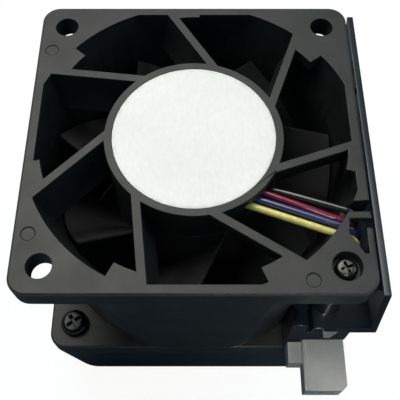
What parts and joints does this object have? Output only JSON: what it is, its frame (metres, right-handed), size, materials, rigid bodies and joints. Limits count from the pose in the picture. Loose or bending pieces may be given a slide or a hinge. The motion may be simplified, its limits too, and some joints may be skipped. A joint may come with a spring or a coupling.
{
  "type": "cooling fan",
  "caption": "Square flanged axial server fan: impeller on ball bearings behind swept guide vanes, intake collar, side cover and plug with leads.",
  "frame": {"origin": "on the fan's axis, at the foot of the intake collar", "axes": "+Z is the way the air goes, from the intake collar to the exhaust face; +X points to the side cover; -Y is the side that the plug stands out of"},
  "size_m": [0.0644, 0.0697, 0.052],
  "materials": {
    "frame_plastic": "satin glass-filled moulding",
    "collar_plastic": "satin near-black moulding",
    "cover_plastic": "glossy navy-black moulding",
    "impeller_plastic": "satin black moulding",
    "label_paper": "bare off-white sticker",
    "screw_steel": "bright zinc",
    "dark_screw_steel": "grey phosphate",
    "plug_plastic": "light grey moulding",
    "contact_brass": "tinned",
    "black_insulation": "smooth insulation",
    "red_insulation": "smooth insulation",
    "blue_insulation": "smooth insulation",
    "yellow_insulation": "smooth insulation",
    "tube_brass": "turned",
    "bearing_steel": "ground",
    "yoke_steel": "pressed sheet",
    "magnet_ferrite": "dull",
    "spring_steel": "tempered",
    "core_steel": "stacked sheets",
    "insulator_plastic": "natural moulding",
    "copper_winding": "enamelled copper",
    "board_laminate": "lacquered laminate",
    "chip_plastic": "moulded",
    "capacitor_aluminium": "sleeveless can",
    "resistor_ceramic": "glazed",
    "cage_plastic": "moulded"
  },
  "bodies": {
    "housing": {"fan_frame": "frame_plastic", "intake_collar": "collar_plastic", "side_cover": "cover_plastic", "label": "label_paper", "collar_screws": "screw_steel", "cover_screw": "dark_screw_steel", "connector_housing": "plug_plastic", "connector_terminals": "contact_brass", "wire_black": "black_insulation", "wire_red": "red_insulation", "wire_blue": "blue_insulation", "wire_yellow": "yellow_insulation", "bearing_tube": "tube_brass", "stator_core": "core_steel", "upper_insulator": "insulator_plastic", "lower_insulator": "insulator_plastic", "stator_windings": "copper_winding", "winding_pins": "contact_brass", "circuit_board": "board_laminate", "hall_sensor": "chip_plastic", "driver_chip": "chip_plastic", "capacitor": "capacitor_aluminium", "board_resistors": "resistor_ceramic", "lower_bearing_outer_ring": "bearing_steel", "lower_bearing_shields": "yoke_steel", "upper_bearing_outer_ring": "bearing_steel", "upper_bearing_shields": "yoke_steel"},
    "rotor": {"impeller": "impeller_plastic", "rotor_yoke": "yoke_steel", "rotor_magnet": "magnet_ferrite", "shaft_bush": "tube_brass", "shaft": "bearing_steel", "retaining_clip": "spring_steel", "preload_spring": "spring_steel", "lower_bearing_inner_ring": "bearing_steel", "upper_bearing_inner_ring": "bearing_steel"},
    "lower_ball_set": {"lower_bearing_balls": "bearing_steel", "lower_bearing_cage": "cage_plastic"},
    "upper_ball_set": {"upper_bearing_balls": "bearing_steel", "upper_bearing_cage": "cage_plastic"}
  },
  "joints": [
    {"name": "rotor_spin", "type": "hinge", "parent": "housing", "child": "rotor", "pos_m": [0, 0, 0.03], "axis": [0, 0, 1], "continuous": true},
    {"name": "lower_balls_spin", "type": "hinge", "parent": "housing", "child": "lower_ball_set", "pos_m": [0, 0, 0.0275], "axis": [0, 0, 1], "continuous": true},
    {"name": "upper_balls_spin", "type": "hinge", "parent": "housing", "child": "upper_ball_set", "pos_m": [0, 0, 0.0445], "axis": [0, 0, 1], "continuous": true}
  ],
  "couplings": [
    {"joint": "lower_balls_spin", "follows": "rotor_spin", "ratio": 0.36364},
    {"joint": "upper_balls_spin", "follows": "rotor_spin", "ratio": 0.36364}
  ]
}
